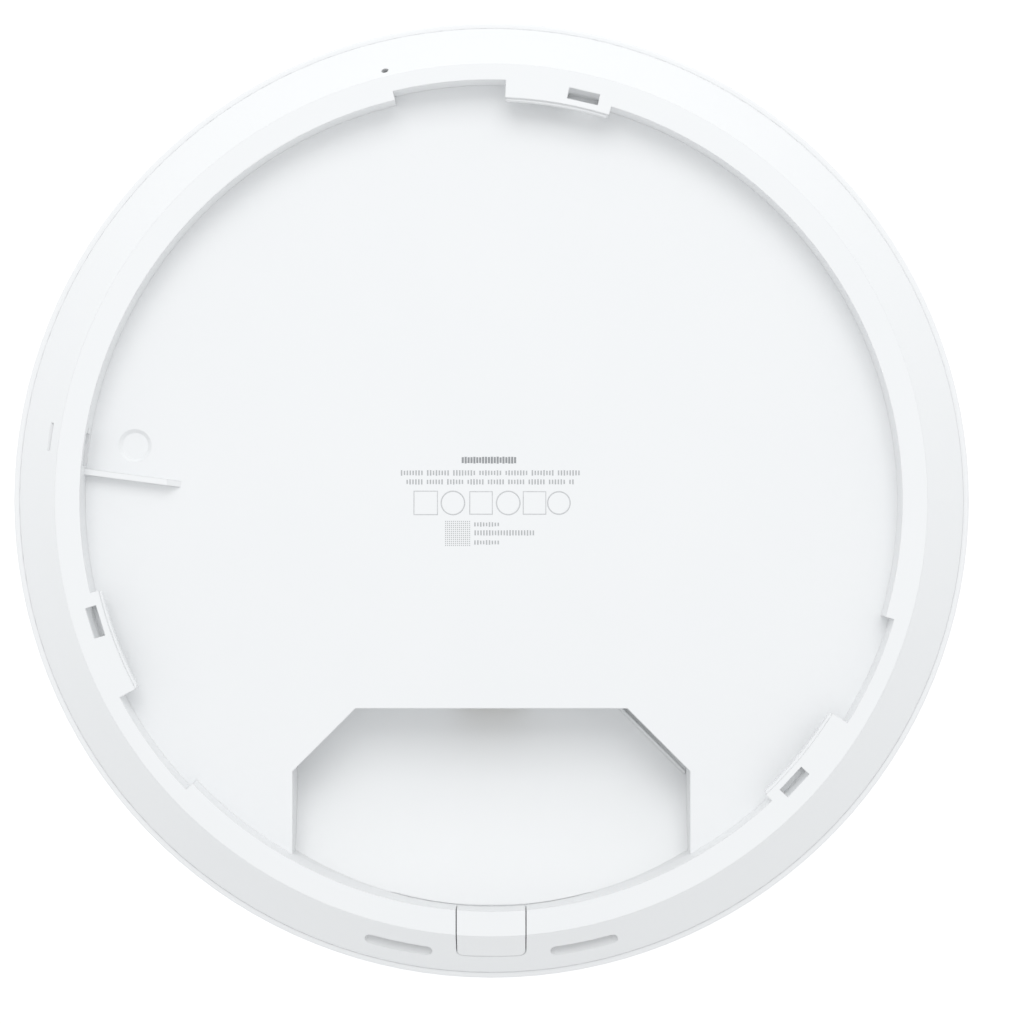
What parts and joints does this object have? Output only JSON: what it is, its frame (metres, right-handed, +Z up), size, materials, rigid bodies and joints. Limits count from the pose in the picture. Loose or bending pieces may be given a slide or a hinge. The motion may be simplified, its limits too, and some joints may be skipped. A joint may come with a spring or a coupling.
{
  "type": "ceiling access point",
  "caption": "Round white ceiling access point with a bayonet recess and cable bay in its back, a conical flank, a domed front with a light ring, and its inner boards, fan and antennas.",
  "frame": {"origin": "centre of the flat rim that meets the ceiling, at the mouth of the bracket recess", "axes": "+Z up to the ceiling, -Y to the side where the network cable leaves, +Y to the reset hole"},
  "size_m": [0.206, 0.206, 0.046],
  "materials": {
    "shell_plastic": "fine-textured moulded white plastic",
    "bay_plastic": "satin moulded white plastic",
    "cover_plastic": "fine-textured moulded white plastic",
    "front_plastic": "smooth satin white plastic",
    "diffuser": "translucent white light ring",
    "clear_plastic": "clear moulded plastic light guide",
    "circuit_board": "green solder mask",
    "led_body": "small surface-mounted lights",
    "black_plastic": "black glass-filled plastic",
    "ivory_plastic": "unpainted connector plastic",
    "chip_black": "moulded chip package",
    "tin_steel": "tin-plated sheet steel",
    "screw_steel": "zinc-plated steel",
    "gold_contact": "gold-plated contacts",
    "antenna_brass": "stamped brass sheet",
    "ferrite": "dark ferrite",
    "winding": "yellow insulating tape over copper",
    "capacitor_can": "bare aluminium can",
    "heatsink_alu": "extruded aluminium",
    "plate_alu": "pressed aluminium sheet",
    "pad": "soft thermal pad",
    "copper": "enamelled copper on steel",
    "magnet": "bonded magnet",
    "lead_jacket": "black lead jacket",
    "carrier_plastic": "natural white plastic",
    "flex": "flat flexible cable"
  },
  "bodies": {
    "housing": {"back_shell": "shell_plastic", "cable_bay": "bay_plastic", "front_cover": "front_plastic", "led_ring": "diffuser", "light_guide": "clear_plastic", "led_board": "circuit_board", "status_leds": "led_body", "led_posts": "black_plastic", "led_cable": "flex", "led_header": "ivory_plastic", "main_board": "circuit_board", "ethernet_jack_shell": "tin_steel", "ethernet_jack_insert": "ivory_plastic", "ethernet_jack_contacts": "gold_contact", "lan_magnetics": "chip_black", "poe_transformer_core": "ferrite", "poe_transformer_winding": "winding", "bridge_rectifiers": "chip_black", "power_inductors": "ferrite", "bulk_capacitors": "capacitor_can", "main_processor": "tin_steel", "memory_chips": "chip_black", "radio_chips": "chip_black", "radio_shields": "tin_steel", "thermal_pads": "pad", "heatsink": "heatsink_alu", "heatsink_screws": "screw_steel", "reset_switch": "black_plastic", "fan_frame": "black_plastic", "fan_stator": "copper", "fan_bearing": "antenna_brass", "fan_screws": "screw_steel", "fan_lead": "lead_jacket", "fan_plug": "ivory_plastic", "fan_header": "ivory_plastic", "board_screws": "screw_steel", "bay_screws": "screw_steel", "antenna_plate": "plate_alu", "plate_standoffs": "antenna_brass", "plate_screws": "screw_steel", "low_band_antennas": "antenna_brass", "mid_band_antennas": "antenna_brass", "high_band_antennas": "antenna_brass", "antenna_carriers": "carrier_plastic", "antenna_rivets": "capacitor_can", "coax_leads": "lead_jacket", "coax_plugs": "gold_contact", "coax_sockets": "gold_contact", "front_shields": "tin_steel"},
    "fan_wheel": {"fan_rotor": "black_plastic", "fan_magnet_ring": "magnet", "fan_shaft": "screw_steel"},
    "reset_key": {"reset_button": "ivory_plastic"},
    "exit_cover": {"cable_cover": "cover_plastic"}
  },
  "joints": [
    {"name": "fan_spin", "type": "hinge", "parent": "housing", "child": "fan_wheel", "pos_m": [0.03, 0.025, -0.0135], "axis": [0, 0, 1], "continuous": true},
    {"name": "reset_press", "type": "slide", "parent": "housing", "child": "reset_key", "axis": [0, 0, -1], "range_m": [0, 0.0003], "stiffness_N_per_m": 2000},
    {"name": "exit_cover_lift", "type": "slide", "parent": "housing", "child": "exit_cover", "axis": [0, 0, 1], "range_m": [0, 0.012]}
  ]
}
